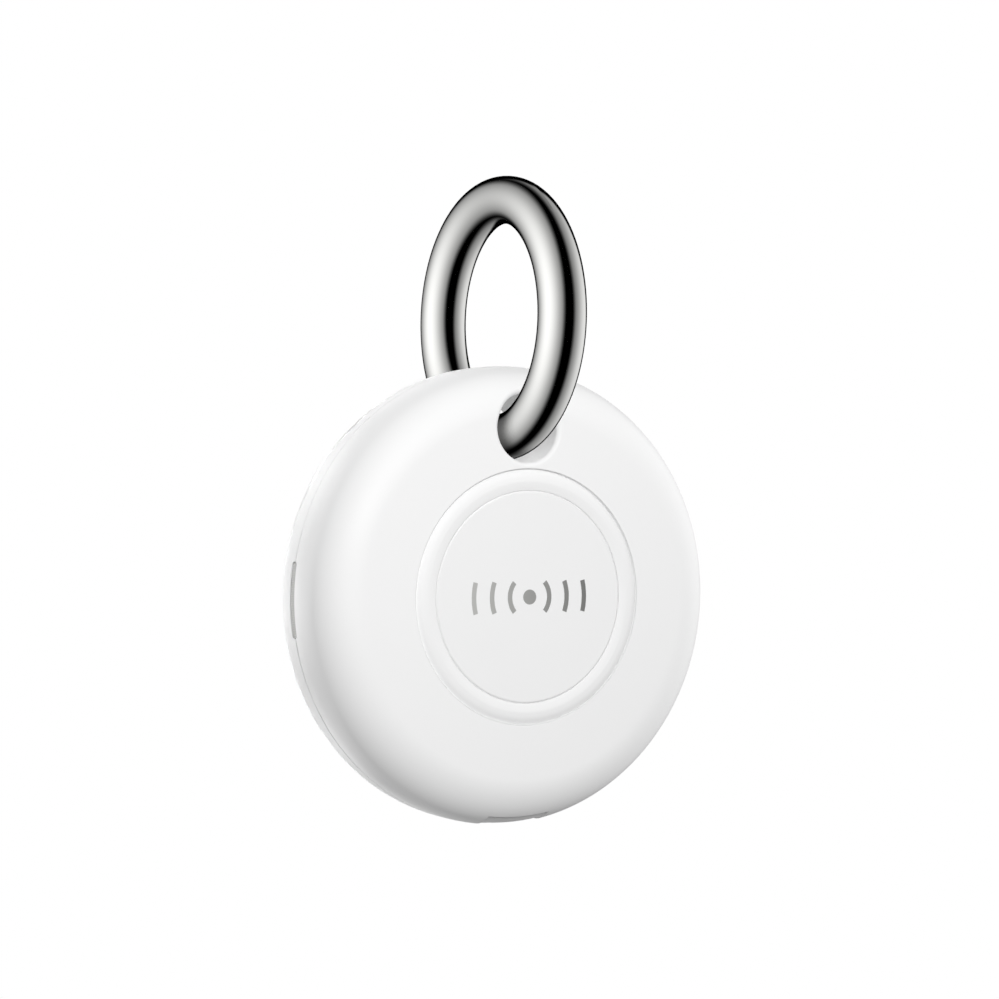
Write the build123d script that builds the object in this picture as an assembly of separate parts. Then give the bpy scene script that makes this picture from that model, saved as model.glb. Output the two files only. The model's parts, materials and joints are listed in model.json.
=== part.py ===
from build123d import *
import math
import os

# Bluetooth tracker tag hanging on a spring-gate key ring, in millimetres.
# The tag is a round, lens-shaped plastic case about the Y axis, front towards -Y, +Z up.
# The origin is the centre of the key ring's loop; the ring lies in the YZ plane.
# Every tag part is first drawn about the disc's centre and then lowered by RING_ABOVE_TAG.

# Case
TAG_R = 19.25
RIM_FRONT = 0.70          # straight rim in front of the parting plane y = 0
RIM_REAR = 0.88           # straight rim behind it
CORNER_R = 3.95           # front round-over, then a softer shoulder, then a shallow dome
CORNER_ARC = 60.0
SHOULDER_R = 4.55
DOME_SLOPE = 1.5
REAR_ARCS = ((4.4, 30.0), (1.9, 30.0), (3.2, 30.0))   # radius and turn of each round-over
FRONT_WALL = 1.2
REAR_WALL = 1.1
THROUGH = 10.0            # reaches past the case on either side
SHADOW_GAP = 0.07         # fine groove in the front half along the parting line
SHADOW_GAP_DEPTH = 0.15

# Key hole and the key ring that hangs in it
HOLE_Z = 13.95
HOLE_R = 2.84
HOLE_EASE_FRONT = 0.4
HOLE_EASE_REAR = 0.8
SLEEVE_R = HOLE_R + 1.0
RING_ABOVE_TAG = 23.27
RING_R = 10.0
WIRE_R = 2.0
GATE_ANGLE = 34.0         # hinge of the gate, from the ring's lowest point towards the back
GATE_REACH = 4.0          # hinge to the seam at the gate's free end
GATE_GAP = 0.1
EYE_R = 1.9
TONGUE_HALF = 0.40
SLOT_HALF = 0.95
GATE_PIN_R = 0.5
GATE_SPRING_WIRE = 0.1

# Skirt, gasket and what they leave round the key hole
SEAL_R = TAG_R - FRONT_WALL
SKIRT_OUT = 0.35
SKIRT_IN = 1.1
SKIRT_DEPTH = 1.6
GASKET_WIDTH = 0.6
GASKET_Y = (-0.60, -0.15)
GROOVE_SLACK = 0.02
SNAP_ANGLES = (45, 135, 225, 315)
SNAP_HALF_ANGLE = 6.0
SNAP_R = 18.1
SNAP_Y = (-1.45, -1.15)
SNAP_SLACK = 0.05

# Sound slot on the left of the rim, thumbnail recess at the bottom
SLOT_LENGTH = 6.14
SLOT_Y = (-0.30, 0.54)
SLOT_CORNER = 0.25
SLOT_FLOOR_R = TAG_R - 0.8
MESH_THICK = 0.15
MESH_SLACK = 0.1
SOUND_PORTS_Z = (-1.6, 0.0, 1.6)
SOUND_PORT_R = 0.25
NAIL_WIDTH = 5.8
NAIL_DEPTH = 0.12
NAIL_FRONT = -3.1

# Button
BUTTON_R = 10.54
BUTTON_GAP = 0.08
CREST_R = 9.59
CREST_Y = -4.95
BUTTON_EDGE_Y = -4.66
DISC_SEAT_R = 8.80
DISC_SEAT_Y = -4.48
DISC_R = 8.72
DISC_Y = -4.88
OPENING_FLOOR = -2.6       # how deep the button's opening cuts the ground round the key hole
FLANGE_R = 11.4
FLANGE_Y = (-3.57, -2.97)
NOTCH_GAP = 0.3
CAP_FLOOR_Y = -3.85
CAP_WELL_R = 9.6
NIB_R = 1.2
PLUNGER_TOP = -2.70
MARK_THICK = 0.025
MARK_STROKE = 0.42
MARK_ARC_R = (2.1, 3.8, 5.5)
MARK_HALF_HEIGHT = 1.35
MARK_DOT_R = 0.62

# Board and what it carries
BOARD_Y = (-1.75, -0.95)
BOARD_GAP = 1.8
BOARD_HOLE_GAP = 0.15
FRAME_GAP = 1.3
FRAME_Y = (-0.95, -0.15)
FRAME_WALL = 0.85
FRAME_WALL_TOP = 2.2
SWITCH_SIZE = 4.6
SWITCH_COVER_Y = (-2.45, -2.33)
SWITCH_ROOM_R = 1.9
SWITCH_COVER_EASE = 0.2
SWITCH_FLOOR = -1.85
PLUNGER_R = 1.0
PLUNGER_GAP = 0.09
PLUNGER_FOOT_R = 1.6
PLUNGER_FOOT_Y = (-2.31, -2.16)
SCREW_RING_R = 14.3
SCREW_ANGLES = (35, 145, 270)
SCREW_R = 0.6
SCREW_HEAD_R = 1.1
SCREW_HEAD = 0.5
SCREW_TIP = -3.2
SCREW_END_GAP = 0.1
BOSS_R = 1.35
RADIO_CHIP = (5.6, -3.4, 4.0, 4.0, 0.6)       # x, z, width, length, height on the board
CLOCK_CRYSTAL = (5.6, 1.6, 2.5, 2.0, 0.5)
CHIP_ANTENNA = (7.4, -12.6, 3.2, 1.6, 0.6)
PASSIVE_SIZE = (1.0, 0.5, 0.5)
BUZZER_SIZE = 4.0
BUZZER_X = -13.4
BUZZER_TOP = 0.95

# Coin cell, 20 mm across and 3.2 mm thick
CELL_Z = -1.8
CELL_R = 10.0
CELL_Y = (-0.40, 2.80)
CELL_CAN_WALL = 0.3
CELL_CAP_R = 8.7
CELL_CAP_WALL = 0.25
CELL_SHOULDER = 0.25
SHEET = 0.15
PAD_R = 7.0
PAD_TOP = 3.1


def slab(outline, low, high):
    """A flat outline seen from the front, made solid between two depths."""
    return extrude(Plane.XZ.offset(-low) * outline, amount=high - low, dir=(0, 1, 0))


def turned(points):
    """A solid turned about the Y axis from a closed outline of (radius, depth) points."""
    return revolve(make_face(Polyline(*points, close=True)), axis=Axis.Y)


def at_cell(piece):
    return Pos(0, 0, CELL_Z) * piece


def ring_sector(inner, outer, middle, half_angle):
    """A piece of a flat ring, as an outline seen from the front."""
    reach = 2 * outer
    sides = [math.radians(middle - half_angle), math.radians(middle + half_angle)]
    corners = [(reach * math.cos(side), reach * math.sin(side)) for side in sides]
    wedge = make_face(Polyline((0, 0), *corners, close=True))
    return (Circle(outer) - Circle(inner)) & wedge


def round_the_ring(angle, radius=SCREW_RING_R):
    turn = math.radians(angle)
    return radius * math.cos(turn), radius * math.sin(turn)


# ---------------------------------------------------------------- case

def front_body(inset=0.0):
    """The front half's outer form, or its inner form when inset by the wall."""
    edge = TAG_R - inset
    rim = Line((edge, 0), (edge, -RIM_FRONT))
    corner = JernArc(rim @ 1, (0, -1), CORNER_R - inset, -CORNER_ARC)
    shoulder = JernArc(corner @ 1, corner % 1, SHOULDER_R - inset, CORNER_ARC + DOME_SLOPE - 90)
    dome_start = shoulder @ 1
    dome_r = dome_start.X / math.sin(math.radians(DOME_SLOPE))
    dome = JernArc(dome_start, shoulder % 1, dome_r, -DOME_SLOPE)
    closing = Polyline(dome @ 1, (0, 0), (edge, 0))
    return revolve(make_face([rim, corner, shoulder, dome, *closing.edges()]), axis=Axis.Y)


def rear_body(inset=0.0):
    """The rear half's outer form, or its inner form when inset by the wall."""
    edge = TAG_R - inset
    lines = [Line((edge, 0), (edge, RIM_REAR))]
    heading = Vector(0, 1)
    for radius, turn in REAR_ARCS:
        lines.append(JernArc(lines[-1] @ 1, heading, radius - inset, turn))
        heading = lines[-1] % 1
    back = lines[-1] @ 1
    lines += Polyline(back, (0, back.Y), (0, 0), (edge, 0)).edges()
    return revolve(make_face(lines), axis=Axis.Y)


def seal_outline(gap):
    """The inside of the rim, less the ground round the key hole, drawn in by a gap."""
    keep_out = SLEEVE_R + gap
    bridge = Pos(0, HOLE_Z + SEAL_R / 2) * Rectangle(2 * keep_out, SEAL_R)
    return Circle(SEAL_R - gap) - Pos(0, HOLE_Z) * Circle(keep_out) - bridge


def bored(body, ease):
    """Cuts the key hole through a half of the case and rounds its mouth."""
    body -= slab(Pos(0, HOLE_Z) * Circle(HOLE_R), -THROUGH, THROUGH)

    def on_mouth(edge):
        spots = [edge @ t for t in (0, 0.5, 1)]
        return all(abs(math.hypot(p.X, p.Z - HOLE_Z) - HOLE_R) < 0.01 and abs(p.Y) > 1 for p in spots)

    return fillet(body.edges().filter_by(on_mouth), ease)


def sound_slot():
    """The shallow slot across the parting line, at the left of the rim."""
    outline = RectangleRounded(SLOT_Y[1] - SLOT_Y[0], SLOT_LENGTH, SLOT_CORNER)
    middle = (SLOT_Y[0] + SLOT_Y[1]) / 2
    return extrude(Plane.YZ.offset(-SLOT_FLOOR_R) * Pos(middle, 0) * outline, amount=THROUGH, dir=(-1, 0, 0))


def thumbnail_recess():
    """A shallow place in the bottom of the front rim, to prise the halves apart."""
    block = slab(Pos(0, -TAG_R) * Rectangle(NAIL_WIDTH, 4), NAIL_FRONT, 0)
    return block - front_body(NAIL_DEPTH)


def shadow_gap():
    """The fine line between the halves, round the rim and inside the key hole."""
    round_rim = Circle(TAG_R + 1) - Circle(TAG_R - SHADOW_GAP_DEPTH)
    round_hole = Pos(0, HOLE_Z) * Circle(HOLE_R + SHADOW_GAP_DEPTH)
    return slab(round_rim + round_hole, -SHADOW_GAP, 0)


def front_shell():
    shell = bored(front_body(), HOLE_EASE_FRONT) - shadow_gap()
    shell -= front_body(FRONT_WALL) & slab(seal_outline(0), -THROUGH, 0)
    shell -= slab(Circle(BUTTON_R + BUTTON_GAP), -THROUGH, OPENING_FLOOR)
    for angle in SCREW_ANGLES:
        place = Pos(*round_the_ring(angle))
        shell += slab(place * Circle(BOSS_R), -THROUGH, BOARD_Y[0]) & front_body(FRONT_WALL / 2)
        shell -= slab(place * Circle(SCREW_R), SCREW_TIP - SCREW_END_GAP, 0)
    for angle in SNAP_ANGLES:
        catch = ring_sector(SEAL_R - 1, SNAP_R + SNAP_SLACK, angle, SNAP_HALF_ANGLE + 1)
        shell -= slab(catch, SNAP_Y[0] - SNAP_SLACK, SNAP_Y[1] + SNAP_SLACK)
    return shell - sound_slot() - thumbnail_recess()


def rear_cover():
    cover = bored(rear_body(), HOLE_EASE_REAR)
    cover -= rear_body(REAR_WALL) & slab(seal_outline(SKIRT_IN), 0, THROUGH)
    cover += slab(seal_outline(SKIRT_OUT) - seal_outline(SKIRT_IN), -SKIRT_DEPTH, 0)
    groove = seal_outline(SKIRT_OUT) - seal_outline(GASKET_WIDTH)
    cover -= slab(groove, GASKET_Y[0] - GROOVE_SLACK, GASKET_Y[1] + GROOVE_SLACK)
    for angle in SNAP_ANGLES:
        catch = ring_sector(SEAL_R - GASKET_WIDTH, SNAP_R, angle, SNAP_HALF_ANGLE)
        cover += slab(catch, *SNAP_Y)
    cover -= sound_slot()
    for height in SOUND_PORTS_Z:
        port = Pos(-SEAL_R, SLOT_Y[1] / 2, height) * Rot(0, 90, 0) * Cylinder(SOUND_PORT_R, 4)
        cover -= port
    return cover


def sealing_gasket():
    return slab(seal_outline(0) - seal_outline(GASKET_WIDTH), *GASKET_Y)


def slot_mesh():
    width = SLOT_Y[1] - SLOT_Y[0] - MESH_SLACK
    outline = RectangleRounded(width, SLOT_LENGTH - MESH_SLACK, SLOT_CORNER - MESH_SLACK / 2)
    middle = (SLOT_Y[0] + SLOT_Y[1]) / 2
    place = Plane.YZ.offset(-SLOT_FLOOR_R) * Pos(middle, 0)
    return extrude(place * outline, amount=MESH_THICK, dir=(-1, 0, 0))


# ---------------------------------------------------------------- button

def button_cap():
    """The ringed cap; a notch in its flange keeps clear of the key hole and stops it turning."""
    notch = Pos(0, HOLE_Z) * Circle(SLEEVE_R + NOTCH_GAP) - Circle(BUTTON_R)
    return turned_cap() - slab(notch, *FLANGE_Y)


def turned_cap():
    return turned([
        (0, DISC_SEAT_Y), (DISC_SEAT_R, DISC_SEAT_Y), (DISC_SEAT_R, CREST_Y + 0.12),
        (CREST_R - 0.06, CREST_Y), (CREST_R + 0.06, CREST_Y + 0.01),
        (BUTTON_R - 0.05, BUTTON_EDGE_Y - 0.03), (BUTTON_R, BUTTON_EDGE_Y + 0.03),
        (BUTTON_R, FLANGE_Y[0]), (FLANGE_R, FLANGE_Y[0]), (FLANGE_R, FLANGE_Y[1]),
        (CAP_WELL_R, FLANGE_Y[1]), (CAP_WELL_R, CAP_FLOOR_Y), (NIB_R, CAP_FLOOR_Y),
        (NIB_R, PLUNGER_TOP), (0, PLUNGER_TOP)])


def button_disc():
    chamfer_size = 0.05
    return turned([
        (0, DISC_Y), (DISC_R - chamfer_size, DISC_Y), (DISC_R, DISC_Y + chamfer_size),
        (DISC_R, DISC_SEAT_Y), (0, DISC_SEAT_Y)])


def signal_mark():
    """A dot with waves spreading to both sides, printed on the button's disc."""
    outlines = [Circle(MARK_DOT_R)]
    for radius in MARK_ARC_R:
        half_angle = math.degrees(math.asin(MARK_HALF_HEIGHT / radius))
        for middle in (0, 180):
            outlines.append(ring_sector(radius - MARK_STROKE, radius, middle, half_angle))
    return Compound([slab(outline, DISC_Y - MARK_THICK, DISC_Y).solid() for outline in outlines])


# ---------------------------------------------------------------- switch

def switch_housing():
    housing = slab(Rectangle(SWITCH_SIZE, SWITCH_SIZE), SWITCH_COVER_Y[1], BOARD_Y[0])
    return housing - slab(Circle(SWITCH_ROOM_R), SWITCH_COVER_Y[1], SWITCH_FLOOR)


def switch_cover():
    side = SWITCH_SIZE - SWITCH_COVER_EASE
    plate = RectangleRounded(side, side, 2 * SWITCH_COVER_EASE) - Circle(PLUNGER_R + PLUNGER_GAP)
    return slab(plate, *SWITCH_COVER_Y)


def switch_plunger():
    stem = slab(Circle(PLUNGER_R), PLUNGER_TOP, PLUNGER_FOOT_Y[1])
    return stem + slab(Circle(PLUNGER_FOOT_R), *PLUNGER_FOOT_Y)


def switch_dome():
    """The snap spring under the plunger: a thin dished disc standing on its rim."""
    rim_r = 1.75
    rise = 0.26
    thick = 0.05
    sphere_r = (rim_r ** 2 + rise ** 2) / (2 * rise)
    centre = Pos(0, SWITCH_FLOOR - rise + sphere_r, 0)
    cap = centre * (Sphere(sphere_r) - Sphere(sphere_r - thick))
    return cap & slab(Circle(rim_r), SWITCH_FLOOR - rise - 1, SWITCH_FLOOR)


# ---------------------------------------------------------------- board

def circuit_board():
    board = seal_outline(BOARD_GAP)
    for angle in SCREW_ANGLES:
        board -= Pos(*round_the_ring(angle)) * Circle(SCREW_R + BOARD_HOLE_GAP)
    return slab(board, *BOARD_Y)


def on_board(x, z, width, length, height):
    """A component standing on the board's front face."""
    return slab(Pos(x, z) * Rectangle(width, length), BOARD_Y[0] - height, BOARD_Y[0])


def radio_chip():
    chip = on_board(*RADIO_CHIP)
    return chamfer(chip.edges().group_by(Axis.Y)[0], 0.1)


def clock_crystal():
    can = on_board(*CLOCK_CRYSTAL)
    return fillet(can.edges().filter_by(Axis.Y), 0.25)


def chip_antenna():
    return on_board(*CHIP_ANTENNA)


def passive_components():
    """Small two-ended components: a column beside the switch, a row under the chip, a pair by the antenna."""
    long_side, short_side, height = PASSIVE_SIZE
    pieces = [on_board(-5.2, 4.2 - 1.6 * step, long_side, short_side, height) for step in range(6)]
    pieces += [on_board(1.6 + 1.5 * step, -7.2, short_side, long_side, height) for step in range(5)]
    pieces += [on_board(7.4, -8.2 - 1.3 * step, long_side, short_side, 0.7 * height) for step in range(2)]
    return Compound([piece.solid() for piece in pieces])


def buzzer():
    box = slab(Pos(BUZZER_X, 0) * RectangleRounded(BUZZER_SIZE, BUZZER_SIZE, 0.3), BOARD_Y[1], BUZZER_TOP)
    mouth = Pos(BUZZER_X - BUZZER_SIZE / 2, 0, 0) * Rot(0, 90, 0) * Cylinder(0.45, 1)
    return box - mouth


def inner_frame():
    """The tray that holds the coin cell and clamps the board."""
    pocket_r = CELL_R + SHEET
    place = Pos(0, CELL_Z)
    room = seal_outline(FRAME_GAP)
    base = room - place * Circle(pocket_r)
    base -= Pos(BUZZER_X, 0) * Rectangle(BUZZER_SIZE + 0.4, BUZZER_SIZE + 0.4)
    base -= place * ring_sector(pocket_r - 1, pocket_r + 1.7, 0, 9)
    for angle in SCREW_ANGLES:
        base -= Pos(*round_the_ring(angle)) * Circle(SCREW_R + 0.05)
    wall = (place * (Circle(pocket_r + FRAME_WALL) - Circle(pocket_r))) & room
    wall -= place * ring_sector(pocket_r - 1, pocket_r + 3, 0, 9)
    return slab(base, *FRAME_Y) + slab(wall, FRAME_Y[0], FRAME_WALL_TOP)


def frame_screws():
    screws = []
    for angle in SCREW_ANGLES:
        place = Pos(*round_the_ring(angle))
        head = slab(place * Circle(SCREW_HEAD_R), FRAME_Y[1], FRAME_Y[1] + SCREW_HEAD)
        cross = Rectangle(1.2, 0.25) + Rectangle(0.25, 1.2)
        head -= slab(place * cross, FRAME_Y[1] + SCREW_HEAD / 2, FRAME_Y[1] + 1)
        screws.append((head + slab(place * Circle(SCREW_R), SCREW_TIP, FRAME_Y[1])).solid())
    return Compound(screws)


# ---------------------------------------------------------------- battery

def cell_can():
    """The steel cup, its closed face to the rear."""
    inner_r = CELL_R - CELL_CAN_WALL
    lip = CELL_Y[0] + CELL_SHOULDER
    can = turned([
        (0, CELL_Y[1]), (CELL_R - 0.3, CELL_Y[1]), (CELL_R, CELL_Y[1] - 0.3), (CELL_R, lip),
        (inner_r, lip), (inner_r, CELL_Y[1] - CELL_CAN_WALL), (0, CELL_Y[1] - CELL_CAN_WALL)])
    return at_cell(can)


def cell_cap():
    """The smaller lid, towards the board."""
    lip = CELL_Y[0] + 1.6
    inner_r = CELL_CAP_R - CELL_CAP_WALL
    cap = turned([
        (0, CELL_Y[0]), (CELL_CAP_R - 0.2, CELL_Y[0]), (CELL_CAP_R, CELL_Y[0] + 0.2), (CELL_CAP_R, lip),
        (inner_r, lip), (inner_r, CELL_Y[0] + CELL_CAP_WALL), (0, CELL_Y[0] + CELL_CAP_WALL)])
    return at_cell(cap)


def cell_seal():
    """The plastic ring that keeps the cup and the lid apart."""
    band = Circle(CELL_R - CELL_CAN_WALL) - Circle(CELL_CAP_R)
    return at_cell(slab(band, CELL_Y[0] + CELL_SHOULDER, CELL_Y[1] - CELL_CAN_WALL))


def cell_electrodes():
    """The pressed pellet inside the cell."""
    top = CELL_Y[0] + CELL_CAP_WALL
    pellet = slab(Circle(CELL_CAP_R - CELL_CAP_WALL), top, CELL_Y[1] - CELL_CAN_WALL)
    return at_cell(pellet)


def negative_contact():
    """A sheet disc on the board's rear face with three fingers up to the cell's lid."""
    contact = slab(Circle(2.2), BOARD_Y[1], BOARD_Y[1] + SHEET)
    low = BOARD_Y[1]
    high = CELL_Y[0]
    finger = make_face(Polyline(
        (1.8, low), (2.4, low), (5.0, high - SHEET), (6.2, high - SHEET), (6.2, high),
        (4.9, high), (2.3, low + SHEET), (1.8, low + SHEET), close=True))
    for turn in (0, 120, 240):
        contact += Rot(0, turn, 0) * extrude(finger, amount=0.6, both=True)
    return at_cell(contact)


def positive_contact():
    """A curved sheet strip against the side of the cell, with a foot on the board."""
    strip = slab(ring_sector(CELL_R, CELL_R + SHEET, 0, 8), BOARD_Y[1], FRAME_WALL_TOP)
    foot = slab(ring_sector(CELL_R, CELL_R + 1.5, 0, 8), BOARD_Y[1], BOARD_Y[1] + SHEET)
    return at_cell(strip + foot)


def battery_pad():
    return at_cell(slab(Circle(PAD_R), CELL_Y[1], PAD_TOP))


# ---------------------------------------------------------------- key ring

def hinge_place():
    turn = math.radians(GATE_ANGLE)
    return Pos(0, RING_R * math.sin(turn), -RING_R * math.cos(turn))


def about_hinge(radius, half_width=5.0):
    """A cylinder about the gate's hinge axis, which runs along X."""
    return hinge_place() * Rot(0, 90, 0) * Cylinder(radius, 2 * half_width)


def whole_ring():
    return Rot(0, 90, 0) * Torus(RING_R, WIRE_R)


def gate_room(reach):
    """The space from the hinge to the gate's nose, a little fatter than the wire."""
    section = Plane.XZ * Pos(0, -RING_R) * Circle(WIRE_R + 0.3)
    sector = revolve(section, axis=Axis.X, revolution_arc=40)
    return (Rot(GATE_ANGLE, 0, 0) * sector) & about_hinge(reach)


def ring_body():
    """Most of the ring, with a forked eye at the hinge and a hollow seam for the gate's nose."""
    body = whole_ring() - (gate_room(GATE_REACH + GATE_GAP) - about_hinge(EYE_R))
    return body - about_hinge(EYE_R + 0.2, SLOT_HALF) - about_hinge(GATE_PIN_R)


def ring_gate():
    """The short sprung piece that swings into the loop, with a tongue in the forked eye."""
    form = gate_room(GATE_REACH) - about_hinge(EYE_R + 1.5 * GATE_GAP)
    form += about_hinge(EYE_R - 0.05, TONGUE_HALF)
    form += gate_room(EYE_R + 0.4) & about_hinge(EYE_R + 0.4, TONGUE_HALF)
    return (whole_ring() & form) - about_hinge(GATE_PIN_R + 0.05)


def gate_pin():
    return about_hinge(GATE_PIN_R, math.sqrt(WIRE_R ** 2 - GATE_PIN_R ** 2) - 0.02)


def gate_spring():
    """A torsion spring round the pin, beside the gate's tongue, with a leg to each side."""
    pitch = 2.2 * GATE_SPRING_WIRE
    path = Helix(pitch, pitch, GATE_PIN_R + 0.35)
    spring = sweep(Plane(origin=path @ 0, z_dir=path % 0) * Circle(GATE_SPRING_WIRE), path=path)
    leg = 0.7
    for start, heading in ((path @ 0, -(path % 0)), (path @ 1, path % 1)):
        spring += extrude(Plane(origin=start, z_dir=heading) * Circle(GATE_SPRING_WIRE), amount=leg)
    beside_tongue = TONGUE_HALF + GATE_SPRING_WIRE + 0.03
    return hinge_place() * Rot(GATE_ANGLE, 0, 0) * Pos(beside_tongue, 0, 0) * Rot(0, 90, 0) * spring


TAG_PARTS = (
    front_shell, rear_cover, sealing_gasket, slot_mesh,
    button_cap, button_disc, signal_mark,
    switch_housing, switch_cover, switch_plunger, switch_dome,
    circuit_board, radio_chip, clock_crystal, chip_antenna, passive_components, buzzer,
    inner_frame, frame_screws,
    cell_can, cell_cap, cell_seal, cell_electrodes,
    negative_contact, positive_contact, battery_pad)
RING_PARTS = (ring_body, ring_gate, gate_pin, gate_spring)

os.makedirs("parts", exist_ok=True)
for make in TAG_PARTS:
    export_step(Pos(0, 0, -RING_ABOVE_TAG) * make(), "parts/" + make.__name__ + ".step")
for make in RING_PARTS:
    export_step(make(), "parts/" + make.__name__ + ".step")
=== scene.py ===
import json
import math

import bpy
from mathutils import Matrix, Vector

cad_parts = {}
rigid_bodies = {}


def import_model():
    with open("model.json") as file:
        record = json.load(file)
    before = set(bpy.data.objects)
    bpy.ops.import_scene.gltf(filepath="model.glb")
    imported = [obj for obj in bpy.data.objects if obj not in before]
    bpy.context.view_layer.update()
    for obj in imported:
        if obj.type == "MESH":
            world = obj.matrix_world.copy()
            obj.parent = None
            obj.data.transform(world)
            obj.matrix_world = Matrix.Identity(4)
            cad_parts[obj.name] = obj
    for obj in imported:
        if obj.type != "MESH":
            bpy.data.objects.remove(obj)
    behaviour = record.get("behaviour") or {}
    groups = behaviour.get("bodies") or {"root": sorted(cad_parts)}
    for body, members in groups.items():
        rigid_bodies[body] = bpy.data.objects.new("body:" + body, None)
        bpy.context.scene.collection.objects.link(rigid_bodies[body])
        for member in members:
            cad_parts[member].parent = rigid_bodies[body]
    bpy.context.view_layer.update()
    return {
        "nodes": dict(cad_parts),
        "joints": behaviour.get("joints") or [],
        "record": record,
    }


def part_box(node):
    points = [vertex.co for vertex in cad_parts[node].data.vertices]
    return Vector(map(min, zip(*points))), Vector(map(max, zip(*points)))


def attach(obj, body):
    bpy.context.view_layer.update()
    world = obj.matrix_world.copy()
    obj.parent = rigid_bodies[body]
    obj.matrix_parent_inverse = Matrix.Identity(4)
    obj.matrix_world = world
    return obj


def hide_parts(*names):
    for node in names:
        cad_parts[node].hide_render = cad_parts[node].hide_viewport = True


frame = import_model()

MM = 0.001
NEAR = 0.004 * MM          # how far a point may be from a surface and still lie on it
ANGLE_SLACK = 0.002        # radians past a round-over's ends that still count as on it
ALIGNED = 0.9              # least cosine between a facet's normal and the surface that it belongs to

# Outer form of the case, as in the CAD source: straight rims, then (radius, turn) of each round-over.
RIM_FRONT = 0.70 * MM
RIM_REAR = 0.88 * MM
FRONT_ROUNDS = ((3.95 * MM, 60.0), (4.55 * MM, 28.5))
DOME_SLOPE = 1.5
REAR_ROUNDS = ((4.4 * MM, 30.0), (1.9 * MM, 30.0), (3.2 * MM, 30.0))
HOLE_R = 2.84 * MM


# ---------------------------------------------------------------- places, from the frame

def joint_place(name):
    joint = next(j for j in frame["joints"] if j["name"] == name)
    return Vector(joint["pos_m"])


def half_size(node):
    low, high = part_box(node)
    return (high - low) / 2


def middle(node):
    low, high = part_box(node)
    return (low + high) / 2


CASE_R = half_size("rear_cover").x
CASE = Vector((0.0, 0.0, middle("rear_cover").z))
HOLE = joint_place("tag_swing")
WIRE_R = half_size("ring_body").x
LOOP_R = half_size("ring_body").z - WIRE_R
LOOP = middle("ring_body")


def new_object(name, points, faces):
    mesh = bpy.data.meshes.new(name)
    mesh.from_pydata(points, [], faces)
    made = bpy.data.objects.new(name, mesh)
    bpy.context.collection.objects.link(made)
    return made


# ---------------------------------------------------------------- surfaces with true normals

def rounds_of(rim, rounds):
    """Each round-over as (centre, radius, first angle, last angle), and the end point.

    Points are (radius, height) from the middle of the case.
    """
    point = Vector((CASE_R, rim))
    angle = 0.0
    found = []
    for radius, turn in rounds:
        centre = point - radius * Vector((math.cos(angle), math.sin(angle)))
        last = angle + math.radians(turn)
        found.append((centre, radius, angle, last))
        point = centre + radius * Vector((math.cos(last), math.sin(last)))
        angle = last
    return found, point


def front_rounds():
    found, end = rounds_of(RIM_FRONT, FRONT_ROUNDS)
    dome_r = end.x / math.sin(math.radians(DOME_SLOPE))
    return rounds_of(RIM_FRONT, (*FRONT_ROUNDS, (dome_r, DOME_SLOPE)))[0]


def case_skin(side, rim, rounds):
    """A function that gives the outer form's normal at a point, or None off it. side is -1 front, 1 rear."""
    top = rounds[-1][0].y + rounds[-1][1] * math.sin(rounds[-1][3])

    def normal(point):
        out = Vector((point.x - CASE.x, 0.0, point.z - CASE.z))
        radius = out.length
        if radius < NEAR:
            return Vector((0.0, side, 0.0))
        out /= radius
        height = side * point.y
        if abs(radius - CASE_R) < NEAR and height <= rim + NEAR:
            return out
        for centre, bend, first, last in rounds:
            arm = Vector((radius, height)) - centre
            angle = math.atan2(arm.y, arm.x)
            within_ends = first - ANGLE_SLACK <= angle <= last + ANGLE_SLACK
            if within_ends and abs(arm.length - bend) < 2 * NEAR:
                return out * math.cos(angle) + Vector((0.0, side * math.sin(angle), 0.0))
        if abs(height - top) < NEAR:
            return Vector((0.0, side, 0.0))
        return None

    return normal


def key_hole_wall(point):
    """The key hole's wall faces its axis, which runs along Y."""
    arm = Vector((HOLE.x - point.x, 0.0, HOLE.z - point.z))
    return arm.normalized() if abs(arm.length - HOLE_R) < NEAR else None


def ring_skin(point):
    """The round wire of the key ring."""
    arm = Vector((0.0, point.y - LOOP.y, point.z - LOOP.z))
    if arm.length < NEAR:
        return None
    out = point - (LOOP + arm.normalized() * LOOP_R)
    return out.normalized() if abs(out.length - WIRE_R) < NEAR else None


# The raised band round the button: its crest, then each edge with the power its curve follows.
ROLL_CREST = (9.59 * MM, -4.96 * MM)
ROLL_EDGES = ((8.82 * MM, -4.84 * MM, 2.0), (10.53 * MM, -4.665 * MM, 2.5))
ROLL_BOTTOM = -4.50 * MM
ROLL_STEPS = 10


def button_roll():
    """The band's section, from its inner edge over the crest to its outer edge, and back inside the cap."""
    crest_radius, crest_height = ROLL_CREST
    sides = []
    for edge_radius, edge_height, power in ROLL_EDGES:
        reach = edge_radius - crest_radius
        rise = edge_height - crest_height
        corners = []
        for step in range(ROLL_STEPS + 1):
            part = step / ROLL_STEPS
            height = crest_height + rise * part ** power
            slope = rise * power * part ** (power - 1) / reach
            corners.append((crest_radius + reach * part, height, math.atan(slope)))
        sides.append(corners)
    inward, outward = sides
    front = inward[:0:-1] + outward
    return front + [(front[-1][0], ROLL_BOTTOM, None), (front[0][0], ROLL_BOTTOM, None)]


def seam_floor(inner, outer, inner_top, outer_top, bottom):
    """The section of a slim ring that stands in a round seam and gives it a floor."""
    return [(inner, inner_top, None), (outer, outer_top, None), (outer, bottom, None), (inner, bottom, None)]


TURNED_PARTS = 240
INWARDS = Vector((0.0, 1.0, 0.0))


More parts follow.
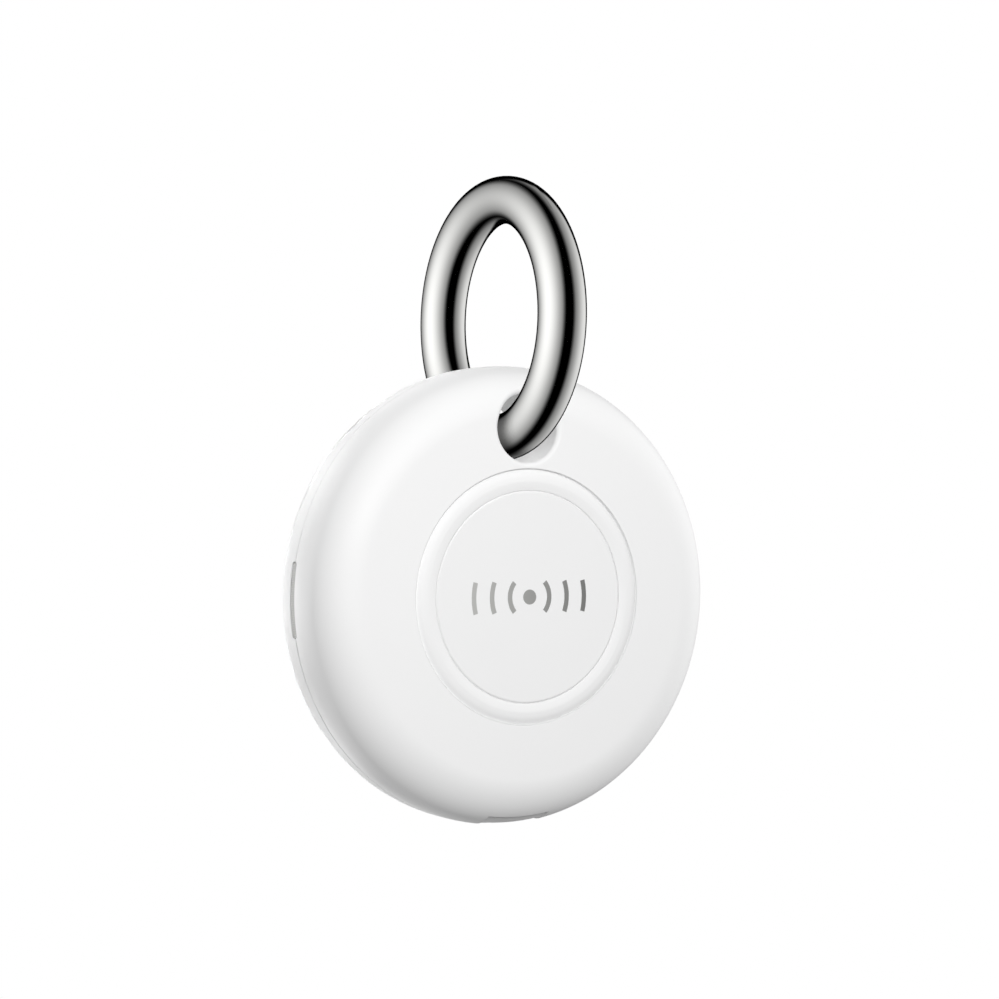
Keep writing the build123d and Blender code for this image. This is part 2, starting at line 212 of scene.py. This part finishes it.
def add_turned(points, faces, normals, section):
    """Adds a closed ring turned from (radius, height, lean) corners; those with a lean are smooth."""
    first = len(points)
    count = len(section)
    arms = []
    for part in range(TURNED_PARTS):
        turn = math.tau * part / TURNED_PARTS
        arms.append(Vector((math.cos(turn), 0.0, math.sin(turn))))
        for radius, height, _ in section:
            points.append(CASE + arms[-1] * radius + INWARDS * height)
    for part in range(TURNED_PARTS):
        following = (part + 1) % TURNED_PARTS
        for side in range(count):
            after = (side + 1) % count
            spots = ((part, side), (part, after), (following, after), (following, side))
            corners = [first + count * turned + k for turned, k in spots]
            a, b, c = (points[k] for k in corners[:3])
            flat = (b - a).cross(c - a).normalized()
            faces.append(corners)
            smooth = section[side][2] is not None and section[after][2] is not None
            for turned, k in spots:
                lean = section[k][2]
                normals.append(arms[turned] * math.sin(lean) - INWARDS * math.cos(lean) if smooth else flat)


def with_true_normals(node, body, surfaces, sections=()):
    """The CAD node's own shape, welded, with exact normals, and closed rings turned from the sections."""
    cad = frame["nodes"][node].data
    places = {}
    points = []
    welded = []
    for vertex in cad.vertices:
        key = tuple(round(c / MM, 5) for c in vertex.co)
        if key not in places:
            places[key] = len(points)
            points.append(vertex.co.copy())
        welded.append(places[key])
    facing = [[surface(point) for surface in surfaces] for point in points]
    faces = []
    normals = []
    for polygon in cad.polygons:
        corners = [welded[v] for v in polygon.vertices]
        if len(set(corners)) < 3:
            continue
        faces.append(corners)
        for corner, loop in zip(corners, polygon.loop_indices):
            choices = [n for n in facing[corner] if n is not None and n.dot(polygon.normal) > ALIGNED]
            best = max(choices, key=polygon.normal.dot, default=cad.corner_normals[loop].vector)
            normals.append(best)
    for section in sections:
        add_turned(points, faces, normals, section)
    piece = new_object(node + "_fine", points, faces)
    piece.data.shade_smooth()
    piece.data.normals_split_custom_set(normals)
    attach(piece, body)
    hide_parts(node)
    return piece


MESH_DEPTH = 0.06 * MM
MESH_THICK = 0.15 * MM
MESH_CORNER = 0.2 * MM
MESH_STEPS = (8, 60)


def rim_mesh():
    """The mesh in the rim's slot, bent to the rim and set just below it."""
    low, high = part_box("slot_mesh")
    center = (low + high) / 2
    half = (high - low) / 2
    across, along = MESH_STEPS
    points = []
    for layer in (0, 1):
        radius = CASE_R - MESH_DEPTH - layer * MESH_THICK
        for i in range(along + 1):
            # ends are closer together, so the rounded corners come out smooth
            height = -half.z * math.cos(math.pi * i / along)
            into_corner = max(0.0, abs(height) - (half.z - MESH_CORNER))
            width = half.y - MESH_CORNER + math.sqrt(max(0.0, MESH_CORNER ** 2 - into_corner ** 2))
            for j in range(across + 1):
                side = width * (2 * j / across - 1)
                z = center.z + height
                rim = math.sqrt(radius ** 2 - (z - CASE.z) ** 2)
                points.append(Vector((-rim, center.y + side, z)))
    row = across + 1
    sheet = row * (along + 1)
    faces = []
    for i in range(along):
        for j in range(across):
            a = i * row + j
            faces.append((a, a + row, a + row + 1, a + 1))
            faces.append((sheet + a, sheet + a + 1, sheet + a + row + 1, sheet + a + row))
    border = list(range(across)) + [i * row + across for i in range(along)]
    border += [along * row + j for j in range(across, 0, -1)] + [i * row for i in range(along, 0, -1)]
    for here, there in zip(border, border[1:] + border[:1]):
        faces.append((here, there, sheet + there, sheet + here))
    piece = new_object("slot_mesh_fine", points, faces)
    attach(piece, "tag")
    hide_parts("slot_mesh")
    return piece


def node_slots():
    """Material slot by node, as the record gives them."""
    return {part["node"]: part["material_slot"] for part in frame["record"]["subparts"]}


# ---------------------------------------------------------------- material building

def new_node(tree, kind, inputs=None, **settings):
    """Adds a node; an input is a number or vector, or another node's output to link."""
    node = tree.nodes.new(kind)
    for name, value in settings.items():
        setattr(node, name, value)
    for name, value in (inputs or {}).items():
        if isinstance(value, bpy.types.NodeSocket):
            tree.links.new(value, node.inputs[name])
        else:
            node.inputs[name].default_value = value
    return node


class Shader:
    """A principled material and short ways to add procedural nodes to it."""

    def __init__(self, name, color, rough, metal=0.0):
        self.material = bpy.data.materials.new(name)
        self.material.use_nodes = True
        self.tree = self.material.node_tree
        self.surface = self.tree.nodes["Principled BSDF"]
        self.set("Base Color", (*color, 1.0))
        self.set("Roughness", rough)
        self.set("Metallic", metal)
        self.coords = self.add("ShaderNodeTexCoord").outputs["Object"]

    def set(self, socket, value):
        self.surface.inputs[socket].default_value = value

    def add(self, kind, inputs=None, **settings):
        return new_node(self.tree, kind, inputs, **settings)

    def to_surface(self, output, socket):
        self.tree.links.new(output, self.surface.inputs[socket])

    def scaled(self, size):
        """Object coordinates divided by a size in metres, one number or three."""
        size = size if isinstance(size, tuple) else (size,) * 3
        scale = tuple(1.0 / s for s in size)
        node = self.add("ShaderNodeVectorMath", {0: self.coords, 1: scale}, operation="MULTIPLY")
        return node.outputs["Vector"]

    def noise(self, size, detail=3.0, rough=0.55):
        inputs = {"Vector": self.scaled(size), "Scale": 1.0, "Detail": detail, "Roughness": rough}
        return self.add("ShaderNodeTexNoise", inputs).outputs["Fac"]

    def ranged(self, value, low, high, start=0.3, end=0.7):
        inputs = {"Value": value, "From Min": start, "From Max": end, "To Min": low, "To Max": high}
        return self.add("ShaderNodeMapRange", inputs).outputs["Result"]

    def tinted(self, value, one, other):
        mix = self.add("ShaderNodeMix", data_type="RGBA")
        self.tree.links.new(value, mix.inputs[0])
        mix.inputs[6].default_value = (*one, 1.0)
        mix.inputs[7].default_value = (*other, 1.0)
        return mix.outputs[2]

    def bump(self, height, depth, strength=1.0):
        """Adds relief of a depth in metres; a second call stacks on the first."""
        inputs = {"Height": height, "Distance": depth, "Strength": strength}
        earlier = self.surface.inputs["Normal"].links
        if earlier:
            inputs["Normal"] = earlier[0].from_socket
        self.to_surface(self.add("ShaderNodeBump", inputs).outputs["Normal"], "Normal")

    def round_edges(self, radius):
        """Shades sharp edges as if broken to a small radius."""
        bevel = self.add("ShaderNodeBevel", {"Radius": radius}, samples=6)
        self.to_surface(bevel.outputs["Normal"], "Normal")

    def painted_shade_near(self, color, reach, dark):
        """Base colour with painted shade: it falls off where another surface stands close in front of it."""
        open_air = self.add("ShaderNodeAmbientOcclusion", {"Distance": reach}, samples=8).outputs["AO"]
        clear = self.ranged(open_air, 0.0, 1.0, start=0.1, end=0.9)
        self.to_surface(self.tinted(clear, shade(color, dark), color), "Base Color")


def shade(color, factor):
    return tuple(c * factor for c in color)


def moulded(name, color, rough, grain=0.35 * MM, relief=0.0008 * MM, mottle=0.02, spread=0.05, edge=0.0):
    """Moulded plastic or rubber: fine spark-eroded grain, and gloss and tone that drift a little."""
    made = Shader(name, color, rough)
    if edge:
        made.round_edges(edge)
    drift = made.noise(6 * MM, detail=2.0)
    made.to_surface(made.ranged(drift, rough - spread, rough + spread), "Roughness")
    made.to_surface(made.tinted(made.noise(2.5 * MM), shade(color, 1 - mottle), color), "Base Color")
    made.bump(made.noise(grain, detail=4.0), relief)
    return made


def polished(name, color, rough, spread=0.02, streak=(0.2 * MM, 0.2 * MM, 0.2 * MM), relief=0.0002 * MM):
    """Plated or stamped metal: fine streaks in its gloss and a trace of unevenness."""
    made = Shader(name, color, rough, metal=1.0)
    lines = made.noise(streak, detail=5.0, rough=0.7)
    made.to_surface(made.ranged(lines, rough - spread, rough + spread), "Roughness")
    cloud = made.noise(3 * MM, detail=2.0)
    made.to_surface(made.tinted(cloud, shade(color, 0.96), color), "Base Color")
    made.bump(lines, relief)
    return made


def soft_white(name, brightness, rough, grain=0.35 * MM):
    """The case's satin white plastic, with its edges just broken."""
    made = moulded(name, (brightness,) * 3, rough, grain=grain, mottle=0.006, edge=0.12 * MM)
    made.set("Specular IOR Level", 0.25)
    return made


def dark_chrome(name):
    """Mirror plating with shade painted into its colour inside the key hole, where the hole's wall stands
    close.
    """
    color = (0.76, 0.76, 0.745)
    made = polished(name, color, 0.07, 0.015)
    # painted shade: the chrome's colour darkens within 1.8 mm of another surface, in place of the hole's
    # shaded wall in the mirror
    made.painted_shade_near(color, 1.8 * MM, 0.12)
    return made


def print_silver(name):
    """Metallic ink that darkens from left to right across the mark."""
    made = Shader(name, (0.5, 0.5, 0.49), 0.42, metal=0.25)
    across = made.add("ShaderNodeSeparateXYZ", {"Vector": made.coords}).outputs["X"]
    half = half_size("signal_mark").x
    fade = made.ranged(across, 0.0, 1.0, start=-half, end=half)
    made.to_surface(made.tinted(fade, (0.56, 0.56, 0.545), (0.22, 0.22, 0.215)), "Base Color")
    made.bump(made.noise(0.05 * MM), 0.001 * MM)
    return made


WAVES_PER_UNIT = math.tau / 20        # the scale at which the wave texture repeats once per unit


def woven_mesh(name):
    """Fine woven acoustic mesh: threads both ways, dark between them."""
    made = Shader(name, (0.45, 0.45, 0.44), 0.6)
    pitch = 0.14 * MM
    threads = []
    for direction in ("Y", "Z"):
        wave = made.add("ShaderNodeTexWave", {"Vector": made.scaled(pitch), "Scale": WAVES_PER_UNIT},
                        bands_direction=direction)
        threads.append(wave.outputs["Fac"])
    cloth = made.add("ShaderNodeMath", {0: threads[0], 1: threads[1]}, operation="MAXIMUM").outputs["Value"]
    made.to_surface(made.tinted(cloth, (0.36, 0.36, 0.35), (0.60, 0.60, 0.59)), "Base Color")
    made.bump(cloth, 0.02 * MM)
    return made


def board_green(name):
    """Solder mask over copper: lighter tracks in it, raised a little."""
    made = Shader(name, (0.015, 0.12, 0.05), 0.32)
    cells = made.add("ShaderNodeTexVoronoi", {"Vector": made.scaled(1.6 * MM), "Scale": 1.0},
                     feature="DISTANCE_TO_EDGE")
    tracks = made.ranged(cells.outputs["Distance"], 1.0, 0.0, start=0.03, end=0.06)
    made.to_surface(made.tinted(tracks, (0.015, 0.12, 0.05), (0.05, 0.26, 0.10)), "Base Color")
    made.bump(tracks, 0.015 * MM)
    return made


MAKERS = {
    "case_white": lambda n: soft_white(n, 0.88, 0.5),
    "button_white": lambda n: soft_white(n, 0.88, 0.46),
    "disc_white": lambda n: soft_white(n, 0.87, 0.44, grain=0.2 * MM),
    "print_silver": print_silver,
    "mesh_grey": woven_mesh,
    "gasket_rubber": lambda n: moulded(n, (0.03, 0.03, 0.03), 0.65, relief=0.004 * MM, mottle=0.2),
    "black_moulding": lambda n: moulded(n, (0.03, 0.03, 0.032), 0.48, relief=0.003 * MM, mottle=0.2),
    "sheet_steel": lambda n: polished(n, (0.62, 0.61, 0.59), 0.3, 0.08, (2 * MM, 0.04 * MM, 0.04 * MM)),
    "board_green": board_green,
    "component_ceramic": lambda n: moulded(n, (0.62, 0.54, 0.42), 0.5, relief=0.002 * MM, mottle=0.25),
    "frame_grey": lambda n: moulded(n, (0.52, 0.52, 0.54), 0.5, relief=0.003 * MM, mottle=0.05),
    "screw_steel": lambda n: polished(n, (0.45, 0.45, 0.46), 0.3, 0.08),
    "cell_steel": lambda n: polished(n, (0.68, 0.67, 0.65), 0.24, 0.07, (3 * MM, 0.05 * MM, 0.05 * MM)),
    "seal_nylon": lambda n: moulded(n, (0.30, 0.30, 0.31), 0.5, mottle=0.1),
    "pellet_black": lambda n: moulded(n, (0.05, 0.05, 0.05), 0.8, relief=0.01 * MM, mottle=0.4),
    "contact_gold": lambda n: polished(n, (0.86, 0.64, 0.27), 0.22, 0.06),
    "foam_black": lambda n: moulded(n, (0.04, 0.04, 0.04), 0.9, relief=0.05 * MM, mottle=0.4),
    "ring_dark_chrome": dark_chrome,
    "pin_steel": lambda n: polished(n, (0.55, 0.55, 0.54), 0.2, 0.05),
    "spring_steel": lambda n: polished(n, (0.5, 0.5, 0.5), 0.25, 0.06),
}
materials = {slot: make(slot).material for slot, make in MAKERS.items()}


# Finishes whose pieces throw no shadow, so that none falls on the case and the narrow seams stay light.
SHADOWLESS = ("ring_dark_chrome", "button_white", "disc_white", "print_silver")


def dress(piece, slot):
    """Gives a new piece or a CAD node its one finish; polished metal mirrors the studio's panels alone."""
    piece.visible_glossy = False
    if slot in SHADOWLESS:
        piece.visible_shadow = False
        piece.visible_diffuse = slot != "ring_dark_chrome"
    if not piece.data.materials:
        piece.data.materials.append(materials[slot])
    for place in piece.material_slots:
        place.material = materials[slot]


# ---------------------------------------------------------------- pieces

# Floors of the seams round the cap and round the disc, and the section of the cap's raised band.
CAP_SEAM = seam_floor(10.535 * MM, 10.612 * MM, -4.67 * MM, -4.80 * MM, -4.30 * MM)
DISC_SEAM = seam_floor(8.715 * MM, 8.795 * MM, -4.82 * MM, -4.80 * MM, -4.60 * MM)

FINE = {
    "front_shell": ("tag", (case_skin(-1, RIM_FRONT, front_rounds()), key_hole_wall)),
    "rear_cover": ("tag", (case_skin(1, RIM_REAR, rounds_of(RIM_REAR, REAR_ROUNDS)[0]), key_hole_wall)),
    "button_cap": ("button", (), (CAP_SEAM, button_roll())),
    "button_disc": ("button", (), (DISC_SEAM,)),
    "ring_body": ("ring", (ring_skin,)),
    "ring_gate": ("gate", (ring_skin,)),
}

for node, slot in node_slots().items():
    if node in FINE:
        piece = with_true_normals(node, *FINE[node])
        dress(piece, slot)
    dress(frame["nodes"][node], slot)
mesh_piece = rim_mesh()
dress(mesh_piece, "mesh_grey")


# ---------------------------------------------------------------- studio

def direction(azimuth, elevation):
    """Unit vector; azimuth 0 points to the front, 90 to +X, in degrees."""
    a = math.radians(azimuth)
    e = math.radians(elevation)
    return Vector((math.sin(a) * math.cos(e), -math.cos(a) * math.cos(e), math.sin(e)))


# Two big soft panels, left and right, that polished metal mirrors:
# azimuth and elevation of the middle in degrees, brightness there, and how wide it is against the first.
PANELS = (
    (-99.5, 5.0, 1.38, 1.0),
    (98.0, 0.0, 0.98, 0.9),
)
# From its middle a panel fades as a bell curve of this width, and between the two edge angles it
# goes softly to nothing. All are in degrees.
PANEL_BELL = 60.0
PANEL_EDGE = (66.0, 88.0)
# Behind the object the studio is dark, which gives polished metal its thin dark outlines.
DARK_BEHIND = (145.0, 12.0)
DARK_CONE = (30.0, 38.0)
AMBIENT = 0.27


def studio_world():
    """White to the camera, the two panels in reflections, and an even soft light otherwise."""
    world = bpy.data.worlds.new("studio")
    world.use_nodes = True
    world.cycles.sampling_method = "NONE"
    tree = world.node_tree
    tree.nodes.clear()

    def add(kind, inputs=None, **settings):
        return new_node(tree, kind, inputs, **settings)

    def math_node(operation, *values):
        return add("ShaderNodeMath", dict(enumerate(values)), operation=operation).outputs["Value"]

    toward = add("ShaderNodeTexCoord").outputs["Generated"]

    def angle_from(azimuth, elevation):
        """Degrees between a ray and a direction."""
        dot = add("ShaderNodeVectorMath", {0: toward, 1: direction(azimuth, elevation)},
                  operation="DOT_PRODUCT").outputs["Value"]
        return math_node("MULTIPLY", math_node("ARCCOSINE", dot), 180 / math.pi)

    def smooth_step(angle, start, end, before, after):
        """A value that changes smoothly from one to another between two angles."""
        inputs = {"Value": angle, "From Min": start, "From Max": end, "To Min": before, "To Max": after}
        return add("ShaderNodeMapRange", inputs, interpolation_type="SMOOTHSTEP").outputs["Result"]

    glow = 0.0
    for azimuth, elevation, bright, spread in PANELS:
        away = math_node("DIVIDE", angle_from(azimuth, elevation), spread)
        widths = math_node("DIVIDE", away, PANEL_BELL)
        bell = math_node("EXPONENT", math_node("MULTIPLY", math_node("MULTIPLY", widths, widths), -1.0))
        panel = math_node("MULTIPLY", bell, smooth_step(away, *PANEL_EDGE, 1.0, 0.0))
        glow = math_node("ADD", glow, math_node("MULTIPLY", panel, bright))
    glow = math_node("MULTIPLY", glow, smooth_step(angle_from(*DARK_BEHIND), *DARK_CONE, 0.0, 1.0))
    rays = add("ShaderNodeLightPath")
    even = math_node("MULTIPLY", math_node("SUBTRACT", 1.0, rays.outputs["Is Glossy Ray"]), AMBIENT)
    light = math_node("ADD", math_node("MULTIPLY", glow, rays.outputs["Is Glossy Ray"]), even)
    seen = math_node("MAXIMUM", light, rays.outputs["Is Camera Ray"])
    shown = add("ShaderNodeBackground", {"Color": (1.0, 1.0, 1.0, 1.0), "Strength": seen})
    out = add("ShaderNodeOutputWorld")
    tree.links.new(shown.outputs["Background"], out.inputs["Surface"])
    bpy.context.scene.world = world


# Soft round lights on the case: azimuth, elevation, watts.
LAMP_DISTANCE = 280 * MM
LAMP_SIZE = 130 * MM
LAMPS = (
    ("key", -12, 18, 0.58),
    ("right", 98, 0, 0.50),
    ("top", 0, 70, 0.10),
    ("back", 180, 25, 0.45),
)

# Narrow beams from behind that catch the rim alone while the tag hangs at rest: where on the rim
# (turn in degrees from +X towards +Z) and watts. Each leans outwards from straight behind. They stay
# there when the tag swings, and at large swings they fall on its back.
BEAM_DISTANCE = 60 * MM
BEAM_SIZE = (4 * MM, 13 * MM)
BEAM_SPREAD = 9.0
BEAM_INSET = 0.8 * MM
BEAM_LEAN = 32.0
BEAMS = (
    (60, 0.00008),
    (95, 0.00012),
    (130, 0.00016),
    (165, 0.00022),
    (200, 0.00022),
    (235, 0.00022),
    (270, 0.00012),
    (305, 0.00006),
)


def new_lamp(name, away, place, plastic):
    """An area lamp at a place, shining against the direction away."""
    data = bpy.data.lights.new(name, "AREA")
    lamp = bpy.data.objects.new(name, data)
    lamp.location = place
    lamp.rotation_mode = "QUATERNION"
    lamp.rotation_quaternion = away.to_track_quat("Z", "Y")
    lamp.visible_camera = False
    lamp.visible_glossy = name == "key"
    lamp.light_linking.receiver_collection = plastic
    bpy.context.collection.objects.link(lamp)
    return lamp


def lamps():
    """The key lamp also gives the plastic its sheen; the chrome is left to the panels."""
    plastic = bpy.data.collections.new("plastic")
    for piece in bpy.context.scene.objects:
        if piece.type == "MESH" and materials["ring_dark_chrome"] not in list(piece.data.materials):
            plastic.objects.link(piece)
    for name, azimuth, elevation, watts in LAMPS:
        away = direction(azimuth, elevation)
        lamp = new_lamp(name, away, CASE + away * LAMP_DISTANCE, plastic)
        lamp.data.shape = "DISK"
        lamp.data.size = LAMP_SIZE
        lamp.data.energy = watts
    lean = math.radians(BEAM_LEAN)
    for turn, watts in BEAMS:
        outward = Vector((math.cos(math.radians(turn)), 0.0, math.sin(math.radians(turn))))
        away = outward * math.sin(lean) + Vector((0.0, math.cos(lean), 0.0))
        target = CASE + outward * (CASE_R - BEAM_INSET)
        lamp = new_lamp(f"beam_{turn}", away, target + away * BEAM_DISTANCE, plastic)
        across = (outward - away * outward.dot(away)).normalized()
        axes = Matrix((across, away.cross(across), away)).transposed()
        lamp.rotation_quaternion = axes.to_quaternion()
        lamp.data.shape = "RECTANGLE"
        lamp.data.size = BEAM_SIZE[0]
        lamp.data.size_y = BEAM_SIZE[1]
        lamp.data.spread = math.radians(BEAM_SPREAD)
        lamp.data.energy = watts


FLOOR_GLOW = 0.5           # stands for the studio light on the paper, which the lamps leave out


def floor():
    """A wide pale disc well below the hanging tag."""
    rings = 6
    spokes = 96
    radius = 1.0
    drop = 300 * MM
    points = [Vector((0.0, 0.0, CASE.z - drop))]
    faces = []
    for ring in range(1, rings + 1):
        for spoke in range(spokes):
            turn = math.tau * spoke / spokes
            reach = radius * ring / rings
            points.append(points[0] + Vector((reach * math.cos(turn), reach * math.sin(turn), 0.0)))
    for spoke in range(spokes):
        after = (spoke + 1) % spokes
        faces.append((0, 1 + spoke, 1 + after))
        for ring in range(rings - 1):
            start = 1 + ring * spokes
            faces.append((start + spoke, start + spokes + spoke, start + spokes + after, start + after))
    ground = new_object("floor", points, faces)
    paper = moulded("floor_paper", (0.9, 0.9, 0.89), 0.7, grain=2 * MM)
    paper.set("Emission Color", (1.0, 1.0, 0.99, 1.0))
    paper.set("Emission Strength", FLOOR_GLOW)
    ground.data.materials.append(paper.material)
    ground.visible_diffuse = False
    ground.visible_glossy = False


# Camera: where its axis passes the case's middle, and from where it looks.
CAMERA_AZIMUTH = -30.12
CAMERA_ELEVATION = 0.418
CAMERA_DISTANCE = 193.25 * MM
AIM_ABOVE_CASE = 8.03 * MM
AIM_ASIDE = -0.042 * MM
LENS = 82.44


def camera():
    data = bpy.data.cameras.new("camera")
    data.lens = LENS
    data.sensor_width = 36.0
    data.clip_start = 10 * MM
    data.clip_end = 50.0
    cam = bpy.data.objects.new("camera", data)
    back = direction(CAMERA_AZIMUTH, CAMERA_ELEVATION)
    right = Vector((-back.y, back.x, 0.0)).normalized()
    aim = CASE + Vector((0.0, 0.0, AIM_ABOVE_CASE)) + right * AIM_ASIDE
    cam.location = aim + back * CAMERA_DISTANCE
    cam.rotation_mode = "QUATERNION"
    cam.rotation_quaternion = (-back).to_track_quat("-Z", "Y")
    bpy.context.collection.objects.link(cam)
    bpy.context.scene.camera = cam


studio_world()
lamps()
floor()
camera()
bpy.context.scene.view_settings.view_transform = "Standard"
